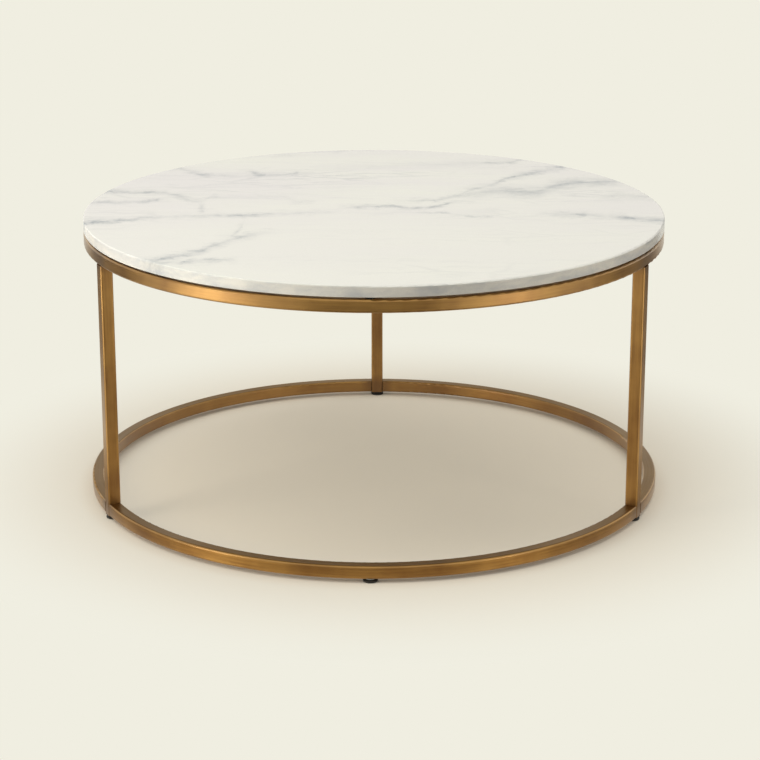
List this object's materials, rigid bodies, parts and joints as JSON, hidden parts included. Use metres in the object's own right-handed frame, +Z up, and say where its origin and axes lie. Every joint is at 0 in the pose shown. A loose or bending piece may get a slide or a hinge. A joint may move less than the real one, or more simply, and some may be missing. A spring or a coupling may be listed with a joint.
{
  "type": "round cocktail table",
  "caption": "Round cocktail table: a marble disc held just above a ring of brass-finished square tube, on slim upright legs tied by a lower ring that stands on levelling feet.",
  "frame": {"origin": "on the floor under the centre of the top, with the feet screwed fully in", "axes": "+Z up, -Y towards the front of the table, so the single back leg is on +Y and +X is to the right"},
  "size_m": [0.914, 0.916, 0.448],
  "materials": {
    "marble": "satin",
    "antique_brass": "satin",
    "pad_rubber": "matte",
    "zinc_steel": "satin",
    "insert_brass": "satin",
    "black_nylon": "satin"
  },
  "bodies": {
    "table": {"marble_top": "marble", "top_ring": "antique_brass", "leg_back": "antique_brass", "leg_front_left": "antique_brass", "leg_front_right": "antique_brass", "lower_bend_front": "antique_brass", "lower_bend_left": "antique_brass", "lower_bend_right": "antique_brass", "rest_pads": "pad_rubber", "top_tab_1": "antique_brass", "top_tab_2": "antique_brass", "top_tab_3": "antique_brass", "top_tab_4": "antique_brass", "top_tab_5": "antique_brass", "top_tab_6": "antique_brass", "tab_washers": "zinc_steel", "tab_screws": "zinc_steel", "stone_inserts": "insert_brass", "leg_plugs": "black_nylon", "front_rivet_nut": "zinc_steel"},
    "foot_back": {"glide_back": "black_nylon", "stud_back": "zinc_steel"},
    "foot_front_left": {"glide_front_left": "black_nylon", "stud_front_left": "zinc_steel"},
    "foot_front_right": {"glide_front_right": "black_nylon", "stud_front_right": "zinc_steel"},
    "foot_front_middle": {"glide_front_middle": "black_nylon", "stud_front_middle": "zinc_steel"}
  },
  "joints": [
    {"name": "level_back", "type": "slide", "parent": "table", "child": "foot_back", "axis": [0, 0, -1], "range_m": [0, 0.01]},
    {"name": "level_front_left", "type": "slide", "parent": "table", "child": "foot_front_left", "axis": [0, 0, -1], "range_m": [0, 0.01]},
    {"name": "level_front_right", "type": "slide", "parent": "table", "child": "foot_front_right", "axis": [0, 0, -1], "range_m": [0, 0.01]},
    {"name": "level_front_middle", "type": "slide", "parent": "table", "child": "foot_front_middle", "axis": [0, 0, -1], "range_m": [0, 0.01]}
  ]
}
